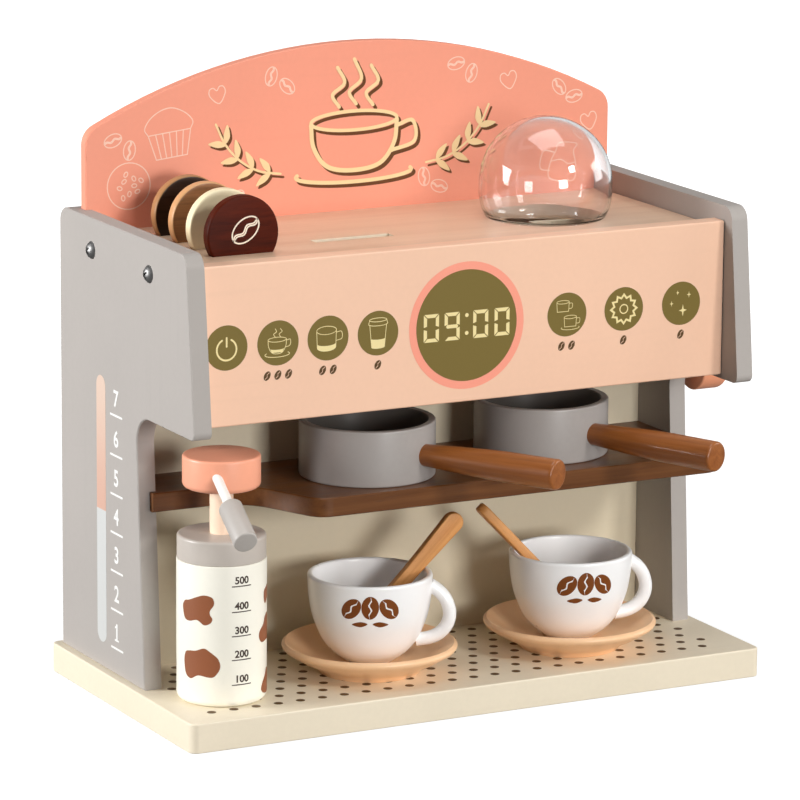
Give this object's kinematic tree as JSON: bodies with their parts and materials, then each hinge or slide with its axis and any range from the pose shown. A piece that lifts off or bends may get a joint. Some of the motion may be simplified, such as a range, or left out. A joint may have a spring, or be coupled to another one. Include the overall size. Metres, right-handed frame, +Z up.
{
  "type": "toy coffee maker",
  "caption": "Wooden toy espresso machine with a shelf for portafilters, cups on saucers with spoons, a pump bottle, a clear bean dome and discs standing in slots.",
  "frame": {"origin": "centre of the base board's underside, on the surface it stands on", "axes": "+X to the right seen from the front, +Y towards the back, +Z up"},
  "size_m": [0.315, 0.1931, 0.2972],
  "materials": {
    "cream_paint": "satin paint on board",
    "grey_paint": "satin warm grey paint on board",
    "coral_paint": "satin coral paint on board",
    "ivory_paint": "satin ivory paint on board",
    "light_wood": "clear satin lacquer on pale wood",
    "peach_paint": "satin peach paint on board",
    "walnut_wood": "dark stained wood",
    "screw_steel": "bright plated steel",
    "clear_plastic": "clear polished plastic",
    "knob_paint": "satin coral paint on turned wood",
    "pan_paint": "satin metal-grey paint on turned wood",
    "handle_wood": "glossy lacquer on brown turned wood",
    "saucer_paint": "satin apricot paint on turned wood",
    "white_paint": "satin white paint on turned wood",
    "spoon_wood": "orange-brown wood",
    "bottle_paint": "satin cream paint on turned wood",
    "lid_paint": "satin warm grey paint on turned wood",
    "stem_wood": "satin peach paint on a dowel",
    "pump_paint": "satin peach paint on turned wood",
    "rod_paint": "white painted dowel",
    "sleeve_paint": "grey painted dowel",
    "mahogany_disc": "red-brown stained wood",
    "cream_disc": "cream painted wood",
    "tan_disc": "tan stained wood",
    "dark_disc": "near-black stained faces, tan rim"
  },
  "bodies": {
    "frame": {"base_board": "cream_paint", "left_side_panel": "grey_paint", "right_side_panel": "grey_paint", "sign_board": "coral_paint", "partition_panel": "ivory_paint", "top_panel": "light_wood", "fascia_panel": "peach_paint", "shelf": "walnut_wood", "side_screws": "screw_steel", "base_screws": "screw_steel", "fascia_dowels": "light_wood", "knob_spacer": "light_wood"},
    "knob": {"side_knob": "knob_paint", "knob_screw": "screw_steel", "knob_washer": "screw_steel"},
    "bottle": {"bottle_body": "bottle_paint", "bottle_lid": "lid_paint"},
    "stem": {"pump_stem": "stem_wood"},
    "pump": {"pump_head": "pump_paint", "spout_rod": "rod_paint", "spout_sleeve": "sleeve_paint"},
    "left_filter": {"left_portafilter": "pan_paint", "left_portafilter_handle": "handle_wood"},
    "right_filter": {"right_portafilter": "pan_paint", "right_portafilter_handle": "handle_wood"},
    "left_plate": {"left_saucer": "saucer_paint"},
    "left_mug": {"left_cup": "white_paint"},
    "left_stirrer": {"left_spoon": "spoon_wood"},
    "right_plate": {"right_saucer": "saucer_paint"},
    "right_mug": {"right_cup": "white_paint"},
    "right_stirrer": {"right_spoon": "spoon_wood"},
    "dome": {"bean_dome": "clear_plastic"},
    "coin_1": {"disc_1": "mahogany_disc"},
    "coin_2": {"disc_2": "cream_disc"},
    "coin_3": {"disc_3": "tan_disc"},
    "coin_4": {"disc_4": "dark_disc"}
  },
  "joints": [
    {"name": "knob_turn", "type": "hinge", "parent": "frame", "child": "knob", "pos_m": [0.15, -0.008, 0.1403], "axis": [1, 0, 0], "continuous": true},
    {"name": "bottle_out", "type": "slide", "parent": "frame", "child": "bottle", "axis": [0, -1, 0], "range_m": [0, 0.1]},
    {"name": "pump_press", "type": "slide", "parent": "bottle", "child": "stem", "axis": [0, 0, -1], "range_m": [0, 0.018]},
    {"name": "pump_swing", "type": "hinge", "parent": "stem", "child": "pump", "pos_m": [-0.1175, -0.0424, 0.12], "axis": [0, 0, 1], "range_deg": [-40, 40]},
    {"name": "left_portafilter_out", "type": "slide", "parent": "frame", "child": "left_filter", "axis": [0, -1, 0], "range_m": [0, 0.09]},
    {"name": "right_portafilter_out", "type": "slide", "parent": "frame", "child": "right_filter", "axis": [0, -1, 0], "range_m": [0, 0.09]},
    {"name": "left_saucer_out", "type": "slide", "parent": "frame", "child": "left_plate", "axis": [0, -1, 0], "range_m": [0, 0.09]},
    {"name": "left_cup_lift", "type": "slide", "parent": "left_plate", "child": "left_mug", "axis": [0, 0, 1], "range_m": [0, 0.008]},
    {"name": "left_spoon_stir", "type": "hinge", "parent": "left_mug", "child": "left_stirrer", "pos_m": [-0.0353, -0.031, 0.05], "axis": [0, 0, 1], "continuous": true},
    {"name": "right_saucer_out", "type": "slide", "parent": "frame", "child": "right_plate", "axis": [0, -1, 0], "range_m": [0, 0.09]},
    {"name": "right_cup_lift", "type": "slide", "parent": "right_plate", "child": "right_mug", "axis": [0, 0, 1], "range_m": [0, 0.008]},
    {"name": "right_spoon_stir", "type": "hinge", "parent": "right_mug", "child": "right_stirrer", "pos_m": [0.0705, -0.034, 0.05], "axis": [0, 0, 1], "continuous": true},
    {"name": "dome_lift", "type": "slide", "parent": "frame", "child": "dome", "axis": [0, 0, 1], "range_m": [0, 0.06]},
    {"name": "disc_1_lift", "type": "slide", "parent": "frame", "child": "coin_1", "axis": [0, 0, 1], "range_m": [0, 0.04]},
    {"name": "disc_2_lift", "type": "slide", "parent": "frame", "child": "coin_2", "axis": [0, 0, 1], "range_m": [0, 0.04]},
    {"name": "disc_3_lift", "type": "slide", "parent": "frame", "child": "coin_3", "axis": [0, 0, 1], "range_m": [0, 0.04]},
    {"name": "disc_4_lift", "type": "slide", "parent": "frame", "child": "coin_4", "axis": [0, 0, 1], "range_m": [0, 0.04]}
  ]
}
